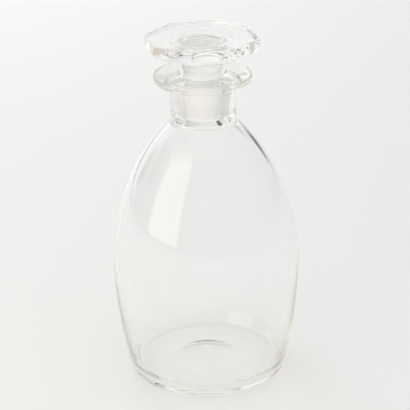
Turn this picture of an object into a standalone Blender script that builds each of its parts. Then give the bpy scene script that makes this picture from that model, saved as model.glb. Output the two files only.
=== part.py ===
# A blown-glass liquor decanter and its ground-in stopper with an eight-sided head.
# Lengths are in metres and +Z is up. The origin is the centre of the face it rests on.
# Every outline is a list of (radius, height) points, turned about the Z axis.

import math

import bpy

# Vessel, outside
BODY_RADIUS = 0.0533
WIDEST_HEIGHT = 0.0699
SIDE_ARC_RADIUS = 0.2826
SHOULDER_ARC_RADIUS = 0.1152
HEEL_RADIUS = 0.0050
PUNT_RADIUS = 0.0200
PUNT_DEPTH = 0.0014
PUNT_STEPS = 3
NECK_RADIUS = 0.0185
NECK_ROOT_FILLET = 0.0040
NECK_LENGTH = 0.0171

# Vessel, lip
LIP_RADIUS = 0.0273
LIP_DEPTH = 0.0078
LIP_EDGE_HEIGHT = 0.0038
LIP_TOP_ROUNDING = 0.0010
LIP_UNDER_ROUNDING = 0.0034
LIP_ROOT_FILLET = 0.0016
MOUTH_ROUNDING = 0.0038

# Vessel, inside
BODY_WALL = 0.0022
HEEL_WALL = 0.0036
FLOOR_THICKNESS = 0.0040
INNER_HEEL_RADIUS = 0.0045
BORE_RADIUS = 0.0107
BORE_LENGTH = 0.0232
BORE_END_ROUNDING = 0.0030

# Ground joint, shared by the bore and the plug
TAPER_SHARE = 0.0625
JOINT_CLEARANCE = 0.0003

# Stopper
PLUG_DEPTH = 0.0211
PLUG_CHAMFER = 0.0008
STEM_FOOT_HEIGHT = 0.0034
STEM_FOOT_ROUNDING = 0.0006
STEM_RADIUS = 0.0113
STEM_LENGTH = 0.0087
STEM_ROOT_FILLET = 0.0030
BOSS_RADIUS = 0.0168
BOSS_HEIGHT = 0.0009
HEAD_CORNER_RADIUS = 0.0317
HEAD_RIM_THICKNESS = 0.0058
HEAD_CHAMFER_DROP = 0.0022
HEAD_CHAMFER_REACH = 0.0020
HEAD_TOP_BEVEL = 0.0004
HEAD_SIDES = 8
HEAD_TURN = math.radians(-145.2)

# Facets
TURN_STEPS = 48
ARC_STEP = math.radians(20)
BODY_ARC_STEP = math.radians(3)
BOOLEAN_OVERRUN = 0.002
MERGE_DISTANCE = 0.00001

GLASS_COLOUR = (0.93, 0.95, 0.93, 1.0)
STOPPER_COLOUR = (0.94, 0.95, 0.94, 1.0)
GLASS_ROUGHNESS = 0.02
STOPPER_ROUGHNESS = 0.03
GLASS_IOR = 1.5


def clear_scene():
    for obj in list(bpy.data.objects):
        bpy.data.objects.remove(obj, do_unlink=True)


def glass_material(name, colour, roughness):
    material = bpy.data.materials.new(name)
    material.use_nodes = True
    shader = material.node_tree.nodes["Principled BSDF"]
    shader.inputs["Base Color"].default_value = colour
    shader.inputs["Roughness"].default_value = roughness
    shader.inputs["Metallic"].default_value = 0.0
    shader.inputs["IOR"].default_value = GLASS_IOR
    shader.inputs["Transmission Weight"].default_value = 1.0
    return material


def arc(centre, radius, start, end, step):
    """Points of an arc, both ends included. Angles run from +radius towards +Z."""
    count = max(1, math.ceil(abs(end - start) / step))
    angles = [start + (end - start) * i / count for i in range(count + 1)]
    return [(centre[0] + radius * math.cos(a), centre[1] + radius * math.sin(a)) for a in angles]


def rounded(corners):
    """An open outline of (radius, height, rounding) corners, with each rounding as an arc."""
    points = [corners[0][:2]]
    for before, corner, after in zip(corners, corners[1:], corners[2:]):
        into = math.atan2(corner[1] - before[1], corner[0] - before[0])
        out = math.atan2(after[1] - corner[1], after[0] - corner[0])
        turn = (out - into + math.pi) % (2 * math.pi) - math.pi
        if corner[2] == 0 or turn == 0:
            points.append(corner[:2])
            continue
        # A rounding takes no more than half of the shorter edge beside it.
        room = min(math.dist(before[:2], corner[:2]), math.dist(corner[:2], after[:2])) / 2
        reach = min(corner[2] * math.tan(abs(turn) / 2), room)
        radius = reach / math.tan(abs(turn) / 2)
        side = math.copysign(math.pi / 2, turn)
        start = (corner[0] - reach * math.cos(into), corner[1] - reach * math.sin(into))
        centre = (start[0] + radius * math.cos(into + side), start[1] + radius * math.sin(into + side))
        points += arc(centre, radius, into - side, into - side + turn, ARC_STEP)
    return points + [corners[-1][:2]]


def arc_through(rise, drop):
    """The radius of an arc that starts upright and moves in by drop over a height of rise."""
    return (rise * rise + drop * drop) / (2 * drop)


def neck_root_height():
    """Where the fillet between the shoulder and the neck ends."""
    reach = SHOULDER_ARC_RADIUS + NECK_ROOT_FILLET
    across = NECK_RADIUS + NECK_ROOT_FILLET - (BODY_RADIUS - SHOULDER_ARC_RADIUS)
    return WIDEST_HEIGHT + math.sqrt(reach * reach - across * across)


def lip_height():
    return neck_root_height() + NECK_LENGTH + LIP_DEPTH


def bore_radius(height):
    """The ground taper, which also holds above the lip, where the plug stands proud."""
    return BORE_RADIUS + TAPER_SHARE * (height - lip_height())


def side_radius(height):
    """The outside of the body below its widest point."""
    below = WIDEST_HEIGHT - height
    return BODY_RADIUS - SIDE_ARC_RADIUS + math.sqrt(SIDE_ARC_RADIUS**2 - below**2)


def inside_outline():
    """From the floor's centre, up the inner wall, to the lower end of the bore."""
    inner_radius = BODY_RADIUS - BODY_WALL
    floor_radius = side_radius(FLOOR_THICKNESS + INNER_HEEL_RADIUS) - HEEL_WALL
    rise = WIDEST_HEIGHT - FLOOR_THICKNESS - INNER_HEEL_RADIUS
    side_arc = arc_through(rise, inner_radius - floor_radius)
    side_centre = (inner_radius - side_arc, WIDEST_HEIGHT)

    # The heel's arc touches the floor and the side's arc from within.
    heel_height = FLOOR_THICKNESS + INNER_HEEL_RADIUS
    reach = side_arc - INNER_HEEL_RADIUS
    heel_across = math.sqrt(reach**2 - (heel_height - WIDEST_HEIGHT) ** 2)
    heel_centre = (side_centre[0] + heel_across, heel_height)
    heel_angle = math.atan2(heel_height - WIDEST_HEIGHT, heel_across)

    bore_end = lip_height() - BORE_LENGTH
    bore_end_radius = bore_radius(bore_end)
    shoulder_arc = arc_through(bore_end - WIDEST_HEIGHT, inner_radius - bore_end_radius)
    shoulder_centre = (inner_radius - shoulder_arc, WIDEST_HEIGHT)

    # The end of the bore is rounded into the shoulder's arc.
    end_centre_radius = bore_end_radius + BORE_END_ROUNDING
    end_reach = shoulder_arc + BORE_END_ROUNDING
    end_rise = math.sqrt(end_reach**2 - (end_centre_radius - shoulder_centre[0]) ** 2)
    end_centre = (end_centre_radius, WIDEST_HEIGHT + end_rise)
    end_angle = math.atan2(end_rise, end_centre_radius - shoulder_centre[0])

    points = [(0.0, FLOOR_THICKNESS)]
    points += arc(heel_centre, INNER_HEEL_RADIUS, -math.pi / 2, heel_angle, ARC_STEP)
    points += arc(side_centre, side_arc, heel_angle, 0, BODY_ARC_STEP)[1:]
    points += arc(shoulder_centre, shoulder_arc, 0, end_angle, BODY_ARC_STEP)[1:]
    points += arc(end_centre, BORE_END_ROUNDING, end_angle - math.pi, -math.pi, ARC_STEP)[1:]
    return points


def lip_outline():
    """From inside the mouth, over the lip, to the top of the neck's straight part."""
    top = lip_height()
    bore_top = top - 2 * MOUTH_ROUNDING
    return rounded(
        [
            (bore_radius(bore_top), bore_top, 0),
            (bore_radius(top), top, MOUTH_ROUNDING),
            (LIP_RADIUS, top, LIP_TOP_ROUNDING),
            (LIP_RADIUS, top - LIP_EDGE_HEIGHT, LIP_UNDER_ROUNDING),
            (NECK_RADIUS, top - LIP_DEPTH, LIP_ROOT_FILLET),
            (NECK_RADIUS, neck_root_height(), 0),
        ]
    )


def outside_outline():
    """From the neck's foot, down the shoulder and side, round the heel and over the punt."""
    shoulder_centre = (BODY_RADIUS - SHOULDER_ARC_RADIUS, WIDEST_HEIGHT)
    root_centre = (NECK_RADIUS + NECK_ROOT_FILLET, neck_root_height())
    root_angle = math.atan2(root_centre[1] - shoulder_centre[1], root_centre[0] - shoulder_centre[0])

    # The heel's arc touches the resting face and the side's arc from within.
    side_centre = (BODY_RADIUS - SIDE_ARC_RADIUS, WIDEST_HEIGHT)
    reach = SIDE_ARC_RADIUS - HEEL_RADIUS
    heel_across = math.sqrt(reach**2 - (HEEL_RADIUS - WIDEST_HEIGHT) ** 2)
    heel_centre = (side_centre[0] + heel_across, HEEL_RADIUS)
    heel_angle = math.atan2(HEEL_RADIUS - WIDEST_HEIGHT, heel_across)

    # The punt is a shallow polished hollow, a cap of a large sphere.
    punt_arc = (PUNT_RADIUS**2 + PUNT_DEPTH**2) / (2 * PUNT_DEPTH)
    punt_centre = (0.0, PUNT_DEPTH - punt_arc)
    punt_angle = math.asin(PUNT_RADIUS / punt_arc)

    points = arc(root_centre, NECK_ROOT_FILLET, math.pi, math.pi + root_angle, ARC_STEP)
    points += arc(shoulder_centre, SHOULDER_ARC_RADIUS, root_angle, 0, BODY_ARC_STEP)[1:]
    points += arc(side_centre, SIDE_ARC_RADIUS, 0, heel_angle, BODY_ARC_STEP)[1:]
    points += arc(heel_centre, HEEL_RADIUS, heel_angle, -math.pi / 2, ARC_STEP)[1:]
    punt_step = punt_angle / PUNT_STEPS
    points += arc(punt_centre, punt_arc, math.pi / 2 - punt_angle, math.pi / 2, punt_step)
    return points


def vessel_outline():
    points = inside_outline() + lip_outline() + outside_outline()[1:]
    points[-1] = (0.0, points[-1][1])
    return points


def stem_foot_height():
    return lip_height() + STEM_FOOT_HEIGHT


def head_underside_height():
    """The flat underside of the head, above the boss that the stem grows from."""
    return stem_foot_height() + STEM_LENGTH + BOSS_HEIGHT


def head_rim_height():
    """The lower edge of the eight upright sides, above their chamfer."""
    return head_underside_height() + HEAD_CHAMFER_DROP


def head_top_height():
    return head_rim_height() + HEAD_RIM_THICKNESS


def plug_end_height():
    return lip_height() - PLUG_DEPTH


def stopper_outline():
    """From above the head's centre, down the head and plug, to the plug's centre."""
    top = head_top_height() + BOOLEAN_OVERRUN
    blank_radius = HEAD_CORNER_RADIUS + BOOLEAN_OVERRUN
    underside = head_underside_height()
    foot = stem_foot_height()
    plug_end = plug_end_height()
    end_radius = bore_radius(plug_end) - JOINT_CLEARANCE
    corners = [
        (0.0, top, 0),
        (blank_radius, top, 0),
        (blank_radius, underside, 0),
        (BOSS_RADIUS, underside, 0),
        (BOSS_RADIUS, underside - BOSS_HEIGHT, 0),
        (STEM_RADIUS, underside - BOSS_HEIGHT, STEM_ROOT_FILLET),
        (STEM_RADIUS, foot, STEM_FOOT_ROUNDING),
        (bore_radius(foot) - JOINT_CLEARANCE, foot, 0),
        (end_radius, plug_end + PLUG_CHAMFER, 0),
        (end_radius - PLUG_CHAMFER, plug_end, 0),
        (0.0, plug_end, 0),
    ]
    return [(radius, height - lip_height()) for radius, height in rounded(corners)]


def head_cutter_outline():
    """The corner line of an eight-sided prism, bevelled above and chamfered below the head's sides."""
    across_share = 1 / math.cos(math.pi / HEAD_SIDES)
    bevel_reach = HEAD_TOP_BEVEL * across_share
    chamfer_reach = HEAD_CHAMFER_REACH * across_share
    top = head_top_height()
    rim = head_rim_height()
    bottom = plug_end_height() - BOOLEAN_OVERRUN
    points = [
        (0.0, top),
        (HEAD_CORNER_RADIUS - bevel_reach, top),
        (HEAD_CORNER_RADIUS, top - HEAD_TOP_BEVEL),
        (HEAD_CORNER_RADIUS, rim),
        (HEAD_CORNER_RADIUS - chamfer_reach, rim - HEAD_CHAMFER_DROP),
        (HEAD_CORNER_RADIUS - chamfer_reach, bottom),
        (0.0, bottom),
    ]
    return points


def turned_object(name, points, steps):
    """An outline turned about Z. It runs down its outer side, so its faces point out."""
    mesh = bpy.data.meshes.new(name)
    edges = [(i, i + 1) for i in range(len(points) - 1)]
    mesh.from_pydata([(radius, 0.0, height) for radius, height in points], edges, [])
    obj = bpy.data.objects.new(name, mesh)
    bpy.context.scene.collection.objects.link(obj)
    turn = obj.modifiers.new("Turn", "SCREW")
    turn.axis = "Z"
    turn.angle = 2 * math.pi
    turn.steps = steps
    turn.render_steps = steps
    turn.use_merge_vertices = True
    turn.merge_threshold = MERGE_DISTANCE
    turn.use_smooth_shade = True
    return obj


def head_cutter():
    """The eight-sided form that the stopper's round blank is cut to."""
    cutter = turned_object("head_cutter", head_cutter_outline(), HEAD_SIDES)
    cutter.rotation_euler = (0.0, 0.0, HEAD_TURN)
    cutter.hide_render = True
    cutter.display_type = "WIRE"
    return cutter


def make_vessel():
    vessel = turned_object("decanter_vessel", vessel_outline(), TURN_STEPS)
    vessel.data.materials.append(glass_material("vessel_glass", GLASS_COLOUR, GLASS_ROUGHNESS))
    return vessel


def make_stopper():
    """The stopper lifts out along Z, so its origin is on that axis, level with the lip."""
    stopper = turned_object("octagonal_stopper", stopper_outline(), TURN_STEPS)
    stopper.data.materials.append(glass_material("stopper_glass", STOPPER_COLOUR, STOPPER_ROUGHNESS))
    stopper.location = (0.0, 0.0, lip_height())
    cut = stopper.modifiers.new("Cut the head", "BOOLEAN")
    cut.operation = "INTERSECT"
    cut.solver = "EXACT"
    cut.object = head_cutter()
    return stopper


clear_scene()
make_vessel()
make_stopper()
print("lip height", round(lip_height(), 5), "overall height", round(head_top_height(), 5))
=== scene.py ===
import math

import bpy
from mathutils import Euler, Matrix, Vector


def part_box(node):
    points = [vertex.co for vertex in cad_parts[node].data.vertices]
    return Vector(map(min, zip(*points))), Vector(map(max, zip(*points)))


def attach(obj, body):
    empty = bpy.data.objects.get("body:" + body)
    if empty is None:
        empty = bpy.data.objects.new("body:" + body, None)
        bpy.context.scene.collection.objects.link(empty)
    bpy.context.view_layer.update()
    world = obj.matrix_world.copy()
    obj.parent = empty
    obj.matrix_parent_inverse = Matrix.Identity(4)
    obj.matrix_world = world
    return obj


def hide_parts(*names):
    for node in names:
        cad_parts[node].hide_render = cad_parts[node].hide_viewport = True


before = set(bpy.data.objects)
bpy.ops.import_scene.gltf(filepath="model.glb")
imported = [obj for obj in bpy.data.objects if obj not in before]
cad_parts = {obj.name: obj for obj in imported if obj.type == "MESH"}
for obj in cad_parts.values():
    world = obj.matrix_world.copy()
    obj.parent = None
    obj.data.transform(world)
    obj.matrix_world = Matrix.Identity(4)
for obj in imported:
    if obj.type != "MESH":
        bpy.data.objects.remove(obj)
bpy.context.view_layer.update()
_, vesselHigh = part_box("decanter_vessel")
_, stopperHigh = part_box("octagonal_stopper")
lipTop = vesselHigh.z
print("frame loaded, lip at", round(lipTop, 4))

# Lengths are in metres. Outlines are (radius, height) points, turned about the Z axis.

outlineSteps = {
    "widestTurn": math.radians(6),  # the most that one part of an arc turns
    "axisRadius": 1e-7,  # a ring smaller than this is a point on the axis
}


def arcPoints(centre, radius, start, end, longest):
    # an arc in equal parts, none turning further than widestTurn or reaching further than longest
    turn = abs(end - start)
    count = max(1, math.ceil(turn / outlineSteps["widestTurn"]), math.ceil(turn * radius / longest))
    return arcParts(centre, radius, start, end, count)


def arcParts(centre, radius, start, end, count):
    angles = [start + (end - start) * i / count for i in range(count + 1)]
    return [(centre[0] + radius * math.cos(a), centre[1] + radius * math.sin(a)) for a in angles]


def roundedOutline(corners, parts):
    # each corner is (radius, height, rounding), and its rounding becomes an arc of so many parts
    points = [corners[0][:2]]
    for before, corner, after in zip(corners, corners[1:], corners[2:]):
        into = math.atan2(corner[1] - before[1], corner[0] - before[0])
        out = math.atan2(after[1] - corner[1], after[0] - corner[0])
        turn = (out - into + math.pi) % (2 * math.pi) - math.pi
        if corner[2] == 0:
            points.append(corner[:2])
            continue
        reach = corner[2] * math.tan(abs(turn) / 2)
        side = math.copysign(math.pi / 2, turn)
        start = (corner[0] - reach * math.cos(into), corner[1] - reach * math.sin(into))
        centre = (
            start[0] + corner[2] * math.cos(into + side),
            start[1] + corner[2] * math.sin(into + side),
        )
        points += arcParts(centre, corner[2], into - side, into - side + turn, parts)
    return points + [corners[-1][:2]]


def arcThrough(rise, drop):
    # radius of an arc that starts upright and moves in by drop over a height of rise
    return (rise * rise + drop * drop) / (2 * drop)


def subdivided(points, longest):
    # adds points on long straight stretches
    dense = [points[0]]
    for a, b in zip(points, points[1:]):
        parts = max(1, math.ceil(math.dist(a, b) / longest))
        for i in range(1, parts + 1):
            dense.append((a[0] + (b[0] - a[0]) * i / parts, a[1] + (b[1] - a[1]) * i / parts))
    return dense


def gridMesh(name, rings, surfaces):
    # rings run from the top of the axis, down the outside, to the bottom of the axis.
    # the first and last ring are single points; surfaces names the surface of each band
    verts, starts = [], []
    for ring in rings:
        starts.append(len(verts))
        verts += ring
    count = len(rings[1])
    faces, faceSurfaces = [], []
    for k in range(len(rings) - 1):
        a, b = starts[k], starts[k + 1]
        for i in range(count):
            j = (i + 1) % count
            if len(rings[k]) == 1:
                faces.append((a, b + i, b + j))
            elif len(rings[k + 1]) == 1:
                faces.append((a + i, b, a + j))
            else:
                faces.append((a + i, b + i, b + j, a + j))
            faceSurfaces.append(surfaces[k])
    mesh = bpy.data.meshes.new(name)
    mesh.from_pydata(verts, [], faces)
    for surface in ("ground", "inner"):
        marks = mesh.attributes.new(surface, "FLOAT", "FACE")
        marks.data.foreach_set("value", [float(entry == surface) for entry in faceSurfaces])
    mesh.shade_smooth()
    mesh.update()
    return placed(name, mesh)


def placed(name, data):
    thing = bpy.data.objects.new(name, data)
    bpy.context.scene.collection.objects.link(thing)
    return thing


def circleRing(radius, height, segments):
    if radius < outlineSteps["axisRadius"]:
        return [(0.0, 0.0, height)]
    turns = [2 * math.pi * i / segments for i in range(segments)]
    return [(radius * math.cos(t), radius * math.sin(t), height) for t in turns]


# The blown bottle

vesselSizes = {
    "bodyRadius": vesselHigh.x,
    "widestHeight": 0.0699,
    "sideArcRadius": 0.2826,
    "shoulderArcRadius": 0.1152,
    "heelRadius": 0.0050,
    "puntRadius": 0.0200,
    "puntDepth": 0.0014,
    "neckRadius": 0.0185,
    "neckRootFillet": 0.0040,
    "lipRadius": 0.0273,
    "lipDepth": 0.0078,
    "lipEdgeHeight": 0.0038,
    "lipTopRounding": 0.0010,
    "lipUnderRounding": 0.0034,
    "lipRootFillet": 0.0016,
    "mouthRounding": 0.0038,
    "bodyWall": 0.0022,
    "heelWall": 0.0034,
    "floorThickness": 0.0040,
    "innerFootHeight": 0.0095,
    "innerFootRounding": 0.0040,
    "floorEdgeRadius": 0.0406,
    "floorEdgeRounding": 0.0007,
    "footCornerStep": 1,  # the foot's rounding turns at this point of the inner side
    "footEndStep": 6,  # and has run out by this one
    "boreRadius": 0.0107,
    "boreLength": 0.0232,
    "boreEndRounding": 0.0030,
    "taperShare": 0.0625,
    "groundReachShare": 0.7,  # ground faces lie within this share of the neck's radius
    "segments": 256,
    "cornerParts": 14,
    "longestStep": 0.0012,
}


def boreRadius(height):
    return vesselSizes["boreRadius"] + vesselSizes["taperShare"] * (height - lipTop)


def sideRadius(height):
    v = vesselSizes
    below = v["widestHeight"] - height
    return v["bodyRadius"] - v["sideArcRadius"] + math.sqrt(v["sideArcRadius"] ** 2 - below**2)


def insideOutline():
    # from the floor's centre up the inner wall to the lower end of the bore
    v = vesselSizes
    innerRadius = v["bodyRadius"] - v["bodyWall"]
    footRadius = sideRadius(v["innerFootHeight"]) - v["heelWall"]
    sideArc = arcThrough(v["widestHeight"] - v["innerFootHeight"], innerRadius - footRadius)
    sideCentre = (innerRadius - sideArc, v["widestHeight"])
    footAngle = math.asin((v["innerFootHeight"] - v["widestHeight"]) / sideArc)
    sidePoints = arcPoints(sideCentre, sideArc, footAngle, 0, v["longestStep"])
    corners = [
        (0.0, v["floorThickness"], 0),
        (v["floorEdgeRadius"], v["floorThickness"], v["floorEdgeRounding"]),
        (*sidePoints[v["footCornerStep"]], v["innerFootRounding"]),
        (*sidePoints[v["footEndStep"]], 0),
    ]
    points = roundedOutline(corners, v["cornerParts"])[:-1] + sidePoints[v["footEndStep"] :]

    boreEnd = lipTop - v["boreLength"]
    boreEndRadius = boreRadius(boreEnd)
    shoulderArc = arcThrough(boreEnd - v["widestHeight"], innerRadius - boreEndRadius)
    shoulderCentre = (innerRadius - shoulderArc, v["widestHeight"])
    endRounding = v["boreEndRounding"]
    endCentreRadius = boreEndRadius + endRounding
    endReach = shoulderArc + endRounding
    endRise = math.sqrt(endReach**2 - (endCentreRadius - shoulderCentre[0]) ** 2)
    endCentre = (endCentreRadius, v["widestHeight"] + endRise)
    endAngle = math.atan2(endRise, endCentreRadius - shoulderCentre[0])

    points += arcPoints(shoulderCentre, shoulderArc, 0, endAngle, v["longestStep"])[1:]
    points += arcPoints(endCentre, endRounding, endAngle - math.pi, -math.pi, v["longestStep"])[1:]
    return points


def neckRootHeight():
    v = vesselSizes
    reach = v["shoulderArcRadius"] + v["neckRootFillet"]
    across = v["neckRadius"] + v["neckRootFillet"] - (v["bodyRadius"] - v["shoulderArcRadius"])
    return v["widestHeight"] + math.sqrt(reach * reach - across * across)


def lipOutline():
    v = vesselSizes
    boreTop = lipTop - 2 * v["mouthRounding"]
    corners = [
        (boreRadius(boreTop), boreTop, 0),
        (boreRadius(lipTop), lipTop, v["mouthRounding"]),
        (v["lipRadius"], lipTop, v["lipTopRounding"]),
        (v["lipRadius"], lipTop - v["lipEdgeHeight"], v["lipUnderRounding"]),
        (v["neckRadius"], lipTop - v["lipDepth"], v["lipRootFillet"]),
        (v["neckRadius"], neckRootHeight(), 0),
    ]
    return roundedOutline(corners, v["cornerParts"])


def outsideOutline():
    # from below the lip's last point down the shoulder and the side, round the heel and over the hollow
    v = vesselSizes
    shoulderCentre = (v["bodyRadius"] - v["shoulderArcRadius"], v["widestHeight"])
    rootCentre = (v["neckRadius"] + v["neckRootFillet"], neckRootHeight())
    rootAngle = math.atan2(rootCentre[1] - shoulderCentre[1], rootCentre[0] - shoulderCentre[0])
    sideCentre = (v["bodyRadius"] - v["sideArcRadius"], v["widestHeight"])
    reach = v["sideArcRadius"] - v["heelRadius"]
    heelAcross = math.sqrt(reach**2 - (v["heelRadius"] - v["widestHeight"]) ** 2)
    heelCentre = (sideCentre[0] + heelAcross, v["heelRadius"])
    heelAngle = math.atan2(v["heelRadius"] - v["widestHeight"], heelAcross)
    puntArc = arcThrough(v["puntRadius"], v["puntDepth"])
    puntCentre = (0.0, v["puntDepth"] - puntArc)
    puntAngle = math.asin(v["puntRadius"] / puntArc)

    arcs = [
        (rootCentre, v["neckRootFillet"], math.pi, math.pi + rootAngle),
        (shoulderCentre, v["shoulderArcRadius"], rootAngle, 0),
        (sideCentre, v["sideArcRadius"], 0, heelAngle),
        (heelCentre, v["heelRadius"], heelAngle, -math.pi / 2),
    ]
    points = []
    for arc in arcs:
        points += arcPoints(*arc, v["longestStep"])[1:]
    points += arcPoints(puntCentre, puntArc, math.pi / 2 - puntAngle, math.pi / 2, v["longestStep"])
    points[-1] = (0.0, points[-1][1])
    return points


def makeVessel():
    v = vesselSizes
    points = subdivided(insideOutline() + lipOutline() + outsideOutline(), v["longestStep"])
    rings = [circleRing(r, z, v["segments"]) for r, z in points]
    groundFrom = lipTop - v["boreLength"]
    groundTo = lipTop - v["mouthRounding"]
    groundReach = v["neckRadius"] * v["groundReachShare"]
    surfaces = []
    for (r0, z0), (r1, z1) in zip(points, points[1:]):
        middle, reach = (z0 + z1) / 2, max(r0, r1)
        inBore = reach < groundReach and groundFrom < middle < groundTo
        inside = middle > v["floorThickness"] / 2 and (z1 > z0 or reach < v["floorEdgeRadius"])
        surfaces.append("ground" if inBore else "inner" if inside else "clear")
    return gridMesh("decanter_vessel_glass", rings, surfaces)


# The pressed and cut stopper

stopperSizes = {
    "jointClearance": 0.0003,
    "plugDepth": 0.0211,
    "plugChamfer": 0.0008,
    "stemFootHeight": 0.0034,
    "stemFootRounding": 0.0006,
    "stemRadius": 0.0113,
    "stemRootFillet": 0.0030,
    "bossRadius": 0.0168,
    "bossHeight": 0.0009,
    "cornerRadius": 0.0317,
    "rimThickness": 0.0058,
    "chamferDrop": 0.0022,
    "chamferReach": 0.0020,
    "topBevel": 0.0004,
    "chamferRounding": 0.0003,
    "bossRounding": 0.0002,
    "sideRounding": 0.0005,
    "sides": 8,
    "turn": math.radians(-145.2),
    "facetParts": 26,
    "edgeParts": 6,
    "cornerParts": 8,
    "bandsPastTaper": 2,  # the plug's chamfer and its end come after the ground taper
    "longestStep": 0.003,
}


def headDirections():
    # (angle, reach) round the eight-sided head, with each upright edge rounded a little
    s = stopperSizes
    half = math.pi / s["sides"]
    apothem = s["cornerRadius"] * math.cos(half)
    straight = apothem * math.tan(half) - s["sideRounding"] * math.tan(half)
    centreAcross = apothem - s["sideRounding"]
    points = []
    for side in range(s["sides"]):
        facing = s["turn"] + half + side * 2 * half
        flat = [(apothem, straight * (2 * i / s["facetParts"] - 1)) for i in range(s["facetParts"] + 1)]
        for k in range(1, s["edgeParts"]):
            lean = 2 * half * k / s["edgeParts"]
            flat.append(
                (
                    centreAcross + s["sideRounding"] * math.cos(lean),
                    straight + s["sideRounding"] * math.sin(lean),
                )
            )
        for across, along in flat:
            x = across * math.cos(facing) - along * math.sin(facing)
            y = across * math.sin(facing) + along * math.cos(facing)
            points.append((math.atan2(y, x), math.hypot(x, y)))
    return points


def stopperColumn(reach):
    # one upright outline, from the middle of the top round to the middle of the plug's end
    s = stopperSizes
    headTop = stopperHigh.z
    rimHeight = headTop - s["rimThickness"]
    shelfHeight = rimHeight - s["chamferDrop"]
    bossEnd = shelfHeight - s["bossHeight"]
    shelfReach = reach * (1 - s["chamferReach"] / (s["cornerRadius"] * math.cos(math.pi / s["sides"])))
    footHeight = lipTop + s["stemFootHeight"]
    plugEnd = lipTop - s["plugDepth"]
    endRadius = boreRadius(plugEnd) - s["jointClearance"]
    corners = [
        (0.0, headTop, 0),
        (reach, headTop, s["topBevel"]),
        (reach, rimHeight, s["chamferRounding"]),
        (shelfReach, shelfHeight, s["chamferRounding"]),
        (s["bossRadius"], shelfHeight, s["bossRounding"]),
        (s["bossRadius"], bossEnd, s["bossRounding"]),
        (s["stemRadius"], bossEnd, s["stemRootFillet"]),
        (s["stemRadius"], footHeight, s["stemFootRounding"]),
        (boreRadius(footHeight) - s["jointClearance"], footHeight, 0),
        (endRadius, plugEnd + s["plugChamfer"], 0),
        (endRadius - s["plugChamfer"], plugEnd, 0),
        (0.0, plugEnd, 0),
    ]
    return roundedOutline(corners, s["cornerParts"])


def makeStopper():
    s = stopperSizes
    directions = headDirections()
    columns = [stopperColumn(reach) for _, reach in directions]
    first = columns[0]
    last = len(first) - 1
    taperBand = last - 1 - s["bandsPastTaper"]
    rings, surfaces = [[(0.0, 0.0, first[0][1])]], []
    for k in range(last):
        parts = 1
        if 0 < k < last - 1:
            parts = math.ceil(math.dist(first[k], first[k + 1]) / s["longestStep"])
        for i in range(1, parts + 1):
            share = i / parts
            ring = []
            for (angle, _), column in zip(directions, columns):
                (r0, z0), (r1, z1) = column[k], column[k + 1]
                r, z = r0 + (r1 - r0) * share, z0 + (z1 - z0) * share
                ring.append((r * math.cos(angle), r * math.sin(angle), z))
            rings.append(ring)
            surfaces.append("ground" if k == taperBand else "clear")
    rings[-1] = [(0.0, 0.0, first[last][1])]
    return gridMesh("octagonal_stopper_glass", rings, surfaces)


# The glass. Each solid has one material, because light enters by one surface and leaves by another.

groundSurface = {
    "tint": (1.0, 0.995, 0.985, 1.0),
    "roughness": {"To Min": 0.35, "To Max": 0.55},
    "transmission": 0.6,
    # fine level streaks, from turning in the grinding cup
    "streaksPerMetre": (60.0, 60.0, 1400.0),
}
innerSurface = {"roughness": 0.03}
# lamp light that meets the glass at a slant is turned away, which darkens the rim of the shadow
edgeShadow = {
    "slant": {"From Min": 0.55, "From Max": 1.0},
    "colour": (0.70, 0.67, 0.63, 1.0),
}
clearGlass = {
    "ior": 1.5,
    "tint": (1.0, 1.0, 1.0, 1.0),
    "depthColour": (0.76, 0.79, 0.62, 1.0),
    "depthDensity": 2.1,
    "shadowColour": (0.990, 0.988, 0.984, 1.0),
    "rippleScale": 28.0,
    "rippleDetail": 1.0,
    "rippleDepth": 0.00004,
    # the ring that it stands on is scuffed in small spots
    "scuffs": {
        "height": 0.0002,
        "roughness": 0.3,
        "scale": 700.0,
        "spread": {"From Min": 0.55, "From Max": 0.75},
    },
}
pressedGlass = {
    "ior": 1.5,
    "tint": (1.0, 1.0, 1.0, 1.0),
    "depthColour": (0.76, 0.78, 0.66, 1.0),
    "depthDensity": 0.8,
    "shadowColour": (0.955, 0.952, 0.945, 1.0),
    "rippleScale": 60.0,
    "rippleDetail": 1.0,
    "rippleDepth": 0.00001,
}


def feed(tree, socket, value):
    # a socket takes another node's output or a plain value
    if isinstance(value, bpy.types.NodeSocket):
        tree.links.new(value, socket)
    else:
        socket.default_value = value


def mapRange(tree, value, settings, interpolation="LINEAR"):
    node = tree.nodes.new("ShaderNodeMapRange")
    node.interpolation_type = interpolation
    tree.links.new(value, node.inputs["Value"])
    for name, number in settings.items():
        node.inputs[name].default_value = number
    return node.outputs["Result"]


def calculate(tree, operation, first, second):
    node = tree.nodes.new("ShaderNodeMath")
    node.operation = operation
    feed(tree, node.inputs[0], first)
    feed(tree, node.inputs[1], second)
    return node.outputs["Value"]


def noise(tree, vector, scale):
    node = tree.nodes.new("ShaderNodeTexNoise")
    node.inputs["Scale"].default_value = scale
    tree.links.new(vector, node.inputs["Vector"])
    return node


def blend(tree, kind, factor, first, second):
    # kind is FLOAT for numbers or RGBA for colours
    node = tree.nodes.new("ShaderNodeMix")
    node.data_type = kind
    wanted = "VALUE" if kind == "FLOAT" else kind
    sockets = [socket for socket in node.inputs if socket.type == wanted]
    tree.links.new(factor, node.inputs[0])
    feed(tree, sockets[-2], first)
    feed(tree, sockets[-1], second)
    return [socket for socket in node.outputs if socket.type == wanted][0]


def surfaceMark(tree, name):
    # 1 on the faces that gridMesh marked as this surface
    node = tree.nodes.new("ShaderNodeAttribute")
    node.attribute_name = name
    return node.outputs["Fac"]


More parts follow.
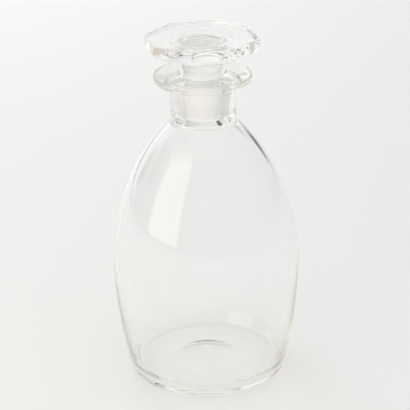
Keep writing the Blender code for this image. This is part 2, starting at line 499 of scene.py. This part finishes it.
def glassRoughness(tree, place, ground, settings):
    stretch = tree.nodes.new("ShaderNodeMapping")
    stretch.inputs["Scale"].default_value = groundSurface["streaksPerMetre"]
    tree.links.new(place, stretch.inputs["Vector"])
    streaks = noise(tree, stretch.outputs["Vector"], 1.0)
    grain = mapRange(tree, streaks.outputs["Fac"], groundSurface["roughness"])
    clear = blend(tree, "FLOAT", surfaceMark(tree, "inner"), 0.0, innerSurface["roughness"])
    roughness = blend(tree, "FLOAT", ground, clear, grain)
    if "scuffs" not in settings:
        return roughness

    scuffs = settings["scuffs"]
    apart = tree.nodes.new("ShaderNodeSeparateXYZ")
    tree.links.new(place, apart.inputs["Vector"])
    low = calculate(tree, "LESS_THAN", apart.outputs["Z"], scuffs["height"])
    spots = mapRange(tree, noise(tree, place, scuffs["scale"]).outputs["Fac"], scuffs["spread"])
    scuffed = calculate(tree, "MULTIPLY", low, spots)
    return blend(tree, "FLOAT", scuffed, roughness, scuffs["roughness"])


def rippleNormal(tree, place, settings):
    # the slow unevenness of worked glass
    ripple = noise(tree, place, settings["rippleScale"])
    ripple.inputs["Detail"].default_value = settings["rippleDetail"]
    bump = tree.nodes.new("ShaderNodeBump")
    bump.inputs["Distance"].default_value = settings["rippleDepth"]
    tree.links.new(ripple.outputs["Fac"], bump.inputs["Height"])
    return bump.outputs["Normal"]


def addLightShadow(tree, shader, settings):
    # lamps and the floor's own light pass straight through, so that the glass leaves only a faint shadow
    path = tree.nodes.new("ShaderNodeLightPath")
    either = calculate(tree, "MAXIMUM", path.outputs["Is Shadow Ray"], path.outputs["Is Diffuse Ray"])
    facing = tree.nodes.new("ShaderNodeLayerWeight").outputs["Facing"]
    slant = mapRange(tree, facing, edgeShadow["slant"])
    through = tree.nodes.new("ShaderNodeBsdfTransparent")
    tint = blend(tree, "RGBA", slant, settings["shadowColour"], edgeShadow["colour"])
    tree.links.new(tint, through.inputs["Color"])
    mix = tree.nodes.new("ShaderNodeMixShader")
    tree.links.new(either, mix.inputs["Fac"])
    tree.links.new(shader.outputs["BSDF"], mix.inputs[1])
    tree.links.new(through.outputs["BSDF"], mix.inputs[2])
    tree.links.new(mix.outputs["Shader"], tree.nodes["Material Output"].inputs["Surface"])


def glassMaterial(name, settings):
    material = bpy.data.materials.new(name)
    material.use_nodes = True
    tree = material.node_tree
    shader = tree.nodes["Principled BSDF"]
    shader.inputs["IOR"].default_value = settings["ior"]
    absorb = tree.nodes.new("ShaderNodeVolumeAbsorption")
    absorb.inputs["Color"].default_value = settings["depthColour"]
    absorb.inputs["Density"].default_value = settings["depthDensity"]
    tree.links.new(absorb.outputs["Volume"], tree.nodes["Material Output"].inputs["Volume"])

    ground = surfaceMark(tree, "ground")
    place = tree.nodes.new("ShaderNodeTexCoord").outputs["Object"]
    tint = blend(tree, "RGBA", ground, settings["tint"], groundSurface["tint"])
    transmission = blend(tree, "FLOAT", ground, 1.0, groundSurface["transmission"])
    tree.links.new(glassRoughness(tree, place, ground, settings), shader.inputs["Roughness"])
    tree.links.new(tint, shader.inputs["Base Color"])
    tree.links.new(transmission, shader.inputs["Transmission Weight"])
    tree.links.new(rippleNormal(tree, place, settings), shader.inputs["Normal"])
    addLightShadow(tree, shader, settings)
    return material


vessel = makeVessel()
vessel.data.materials.append(glassMaterial("blown_glass", clearGlass))
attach(vessel, "vessel")
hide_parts("decanter_vessel")
print("vessel made", len(vessel.data.polygons), "faces")

stopper = makeStopper()
stopper.data.materials.append(glassMaterial("pressed_glass", pressedGlass))
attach(stopper, "stopper")
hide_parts("octagonal_stopper")
print("stopper made", len(stopper.data.polygons), "faces")

# The studio. Directions are in degrees round from -Y, and up.

studio = {
    "floorHalf": 8.0,
    "floorHeight": -0.0003,  # a hair below the glass, so the two faces don't flicker
    "floorColour": (0.90, 0.90, 0.905, 1.0),
    # a warm sheet far behind the object, out of the picture
    "sheetColour": (0.90, 0.80, 0.70, 1.0),
    "sheetHeight": 0.0002,
    "sheetCorners": [(-0.2, 1.25), (0.2, 1.25), (0.42, 2.4), (-0.42, 2.4)],
    "objectMiddle": 0.11,
    "windowDistance": 1.2,
    "windowColour": (1.0, 0.975, 0.83, 1.0),
    # each pane is its strength and the directions of its corners
    "panes": [
        (1.7, [(-35.6, 0.0), (-77.4, 0.0), (-80.3, 38.0), (-29.6, 51.1)]),
        (0.9, [(-29.6, 51.1), (-80.3, 38.0), (-90.0, 40.5), (-32.0, 57.5)]),
    ],
    "roomColour": (0.62, 0.62, 0.63, 1.0),
    # the room's lighter and darker sides: round, up, full within, faded out beyond, colour
    "sides": [
        (-170, 15, 60, 110, (0.97, 0.97, 0.97, 1.0)),
        (180, 26, 10, 20, (0.86, 0.86, 0.865, 1.0)),
        (-76, 20, 30, 60, (0.35, 0.33, 0.30, 1.0)),
        (100, 5, 8, 60, (0.52, 0.52, 0.53, 1.0)),
        (152, -2, 5, 9, (0.04, 0.04, 0.045, 1.0)),
        (-127, 10, 5, 9, (0.14, 0.12, 0.06, 1.0)),
        (143, 20, 3, 7, (0.20, 0.17, 0.13, 1.0)),
        (116, 45, 6, 12, (0.05, 0.05, 0.055, 1.0)),
        (-105, 24, 7, 13, (0.05, 0.05, 0.06, 1.0)),
        (155, 20, 3, 5, (0.66, 0.62, 0.53, 1.0)),
        (180, 75, 8, 18, (0.08, 0.08, 0.085, 1.0)),
    ],
    # each lamp: name, place, what it points at, side of its square, watts
    "lamps": [
        ("back_softbox", (-0.5, 1.3, 1.2), (0.0, 0.6, 0.0), 0.8, 7.8),
        ("window_softbox", (-0.9, -0.8, 1.1), (0.0, 0.0, 0.0), 0.8, 5.4),
        ("front_softbox", (0.3, -0.9, 0.35), (0.0, 0.0, 0.12), 0.5, 1.5),
        ("left_softbox", (-1.0, 0.0, 1.2), (0.0, 0.0, 0.05), 0.5, 1.3),
    ],
}


def direction(around, up):
    a, e = math.radians(around), math.radians(up)
    return Vector((math.sin(a) * math.cos(e), -math.cos(a) * math.cos(e), math.sin(e)))


def flatSheet(name, points):
    mesh = bpy.data.meshes.new(name)
    mesh.from_pydata(points, [], [(0, 1, 2, 3)])
    sheet = placed(name, mesh)
    return sheet


def makePaper(name, corners, height, colour):
    paper = flatSheet(name, [(x, y, height) for x, y in corners])
    material = bpy.data.materials.new(name + "_paper")
    material.use_nodes = True
    shader = material.node_tree.nodes["Principled BSDF"]
    shader.inputs["Base Color"].default_value = colour
    shader.inputs["Roughness"].default_value = 1.0
    shader.inputs["Specular IOR Level"].default_value = 0.0
    paper.data.materials.append(material)


def makePane(number, strength, corners):
    middle = Vector((0, 0, studio["objectMiddle"]))
    points = [middle + direction(around, up) * studio["windowDistance"] for around, up in corners]
    pane = flatSheet("window_pane_" + str(number), points)
    pane.visible_camera = False
    material = bpy.data.materials.new(pane.name)
    material.use_nodes = True
    tree = material.node_tree
    tree.nodes.remove(tree.nodes["Principled BSDF"])
    glow = tree.nodes.new("ShaderNodeEmission")
    glow.inputs["Color"].default_value = studio["windowColour"]
    glow.inputs["Strength"].default_value = strength
    tree.links.new(glow.outputs["Emission"], tree.nodes["Material Output"].inputs["Surface"])
    pane.data.materials.append(material)


def makeRoom():
    world = bpy.data.worlds.new("room")
    bpy.context.scene.world = world
    world.use_nodes = True
    tree = world.node_tree
    place = tree.nodes.new("ShaderNodeTexCoord").outputs["Generated"]
    colour = studio["roomColour"]
    for around, up, full, faded, sideColour in studio["sides"]:
        dot = tree.nodes.new("ShaderNodeVectorMath")
        dot.operation = "DOT_PRODUCT"
        dot.inputs[1].default_value = direction(around, up)
        tree.links.new(place, dot.inputs[0])
        fading = {"From Min": math.cos(math.radians(faded)), "From Max": math.cos(math.radians(full))}
        fade = mapRange(tree, dot.outputs["Value"], fading, "SMOOTHSTEP")
        colour = blend(tree, "RGBA", fade, colour, sideColour)
    tree.links.new(colour, tree.nodes["Background"].inputs["Color"])


def addLamp(name, place, target, size, power):
    data = bpy.data.lights.new(name, "AREA")
    data.shape = "SQUARE"
    data.size = size
    data.energy = power
    lamp = placed(name, data)
    lamp.location = place
    lamp.rotation_euler = (Vector(target) - Vector(place)).to_track_quat("-Z", "Y").to_euler()
    lamp.visible_glossy = False
    lamp.visible_transmission = False


half = studio["floorHalf"]
floorCorners = [(-half, -half), (half, -half), (half, half), (-half, half)]
makePaper("floor", floorCorners, studio["floorHeight"], studio["floorColour"])
makePaper("far_sheet", studio["sheetCorners"], studio["sheetHeight"], studio["sheetColour"])
for number, (strength, corners) in enumerate(studio["panes"]):
    makePane(number, strength, corners)
makeRoom()
for lamp in studio["lamps"]:
    addLamp(*lamp)
print("studio lit by", len(studio["lamps"]), "lamps")

view = {
    "pitch": math.radians(23.06),
    "roll": math.radians(-1.13),
    "distance": 0.8246,
    "targetHeight": 0.1004,
    "focalPixels": 1450.0,
    "photoPixels": 410.0,
    "sensorWidth": 36.0,
    # light runs a long way inside the walls before it gets out, and leaves black bands if it is cut short
    "bounces": 200,
    "transparentBounces": 64,
}


def makeCamera():
    data = bpy.data.cameras.new("camera")
    data.sensor_width = view["sensorWidth"]
    data.lens = view["focalPixels"] * view["sensorWidth"] / view["photoPixels"]
    camera = placed("camera", data)
    back = view["distance"] * math.cos(view["pitch"])
    camera.location = (0.0, -back, view["targetHeight"] + view["distance"] * math.sin(view["pitch"]))
    tilt = Euler((math.pi / 2 - view["pitch"], 0.0, 0.0)).to_matrix()
    camera.rotation_euler = (tilt @ Euler((0.0, 0.0, view["roll"])).to_matrix()).to_euler()
    bpy.context.scene.camera = camera


makeCamera()
scene = bpy.context.scene
scene.view_settings.view_transform = "Standard"
scene.cycles.max_bounces = view["bounces"]
scene.cycles.transmission_bounces = view["bounces"]
scene.cycles.glossy_bounces = view["bounces"]
scene.cycles.transparent_max_bounces = view["transparentBounces"]
print("camera placed")
